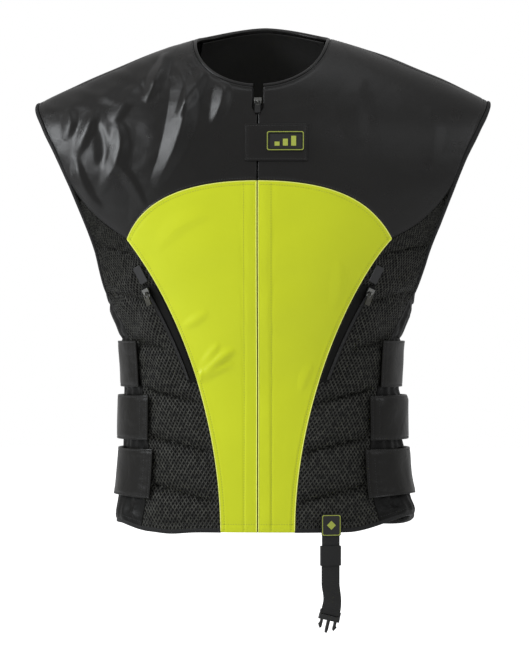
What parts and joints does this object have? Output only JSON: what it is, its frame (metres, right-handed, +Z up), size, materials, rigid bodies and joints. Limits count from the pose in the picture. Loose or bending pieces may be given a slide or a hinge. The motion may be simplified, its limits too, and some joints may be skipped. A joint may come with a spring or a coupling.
{
  "type": "airbag vest",
  "caption": "Sleeveless padded airbag vest worn over a riding jacket: short shoulder caps, front zip, bright front panels, mesh sides, side straps and a tether with a plug.",
  "frame": {"origin": "middle of the neck opening, level with the shoulder line where it meets the sides of the neck", "axes": "+Z up the wearer's neck, -Y out of the front, +X to the wearer's left, which is the viewer's right"},
  "size_m": [0.5676, 0.241, 0.7496],
  "materials": {
    "nylon": "coated nylon, satin",
    "bright": "high-visibility woven, satin",
    "mesh": "spacer mesh, matte",
    "backing": "woven, matte",
    "lining": "woven, matte",
    "binding": "bound tape, satin",
    "strap": "coated elastic, satin",
    "webbing": "woven tape, matte",
    "coil": "nylon coil",
    "metal": "nickel plated",
    "plastic": "moulded, semi-gloss",
    "rubber": "moulded, matte"
  },
  "bodies": {
    "vest": {"bright_panel_left": "bright", "mesh_panel_left": "mesh", "front_yoke_left": "nylon", "bright_panel_right": "bright", "mesh_panel_right": "mesh", "front_yoke_right": "nylon", "side_panel_left": "backing", "side_panel_right": "backing", "back_panel": "mesh", "back_yoke": "nylon", "neck_lining": "lining", "armhole_binding_left": "binding", "armhole_binding_right": "binding", "neck_binding": "binding", "zip_tape_left": "webbing", "zip_tape_right": "webbing", "zip_coil": "coil", "zip_slider": "metal", "pocket_welt_left": "backing", "pocket_coil_left": "coil", "pocket_left_slider": "metal", "pocket_garage_left": "backing", "pocket_welt_right": "backing", "pocket_coil_right": "coil", "pocket_right_slider": "metal", "pocket_garage_right": "backing", "chest_flap": "nylon", "badge_rim": "rubber", "badge_face": "rubber", "side_strap_left_1": "strap", "side_strap_right_1": "strap", "side_strap_left_2": "strap", "side_strap_right_2": "strap", "side_strap_left_3": "strap", "side_strap_right_3": "strap", "lanyard_web": "webbing", "lanyard_label": "rubber", "lanyard_keeper": "webbing", "lanyard_plug": "plastic"},
    "zip_pull": {"zip_pull": "plastic"},
    "pocket_left_pull": {"pocket_left_pull": "plastic"},
    "pocket_right_pull": {"pocket_right_pull": "plastic"}
  },
  "joints": [
    {"name": "zip_pull_swing", "type": "hinge", "parent": "vest", "child": "zip_pull", "pos_m": [0, -0.1108, -0.0859], "axis": [-1, 0, 0], "range_deg": [0, 150]},
    {"name": "pocket_left_pull_swing", "type": "hinge", "parent": "vest", "child": "pocket_left_pull", "pos_m": [-0.13702, -0.10315, -0.31937], "axis": [-0.774, 0.4977, -0.3915], "range_deg": [-17, 130]},
    {"name": "pocket_right_pull_swing", "type": "hinge", "parent": "vest", "child": "pocket_right_pull", "pos_m": [0.13702, -0.10315, -0.31937], "axis": [-0.774, -0.4977, 0.3915], "range_deg": [-17, 130]}
  ]
}
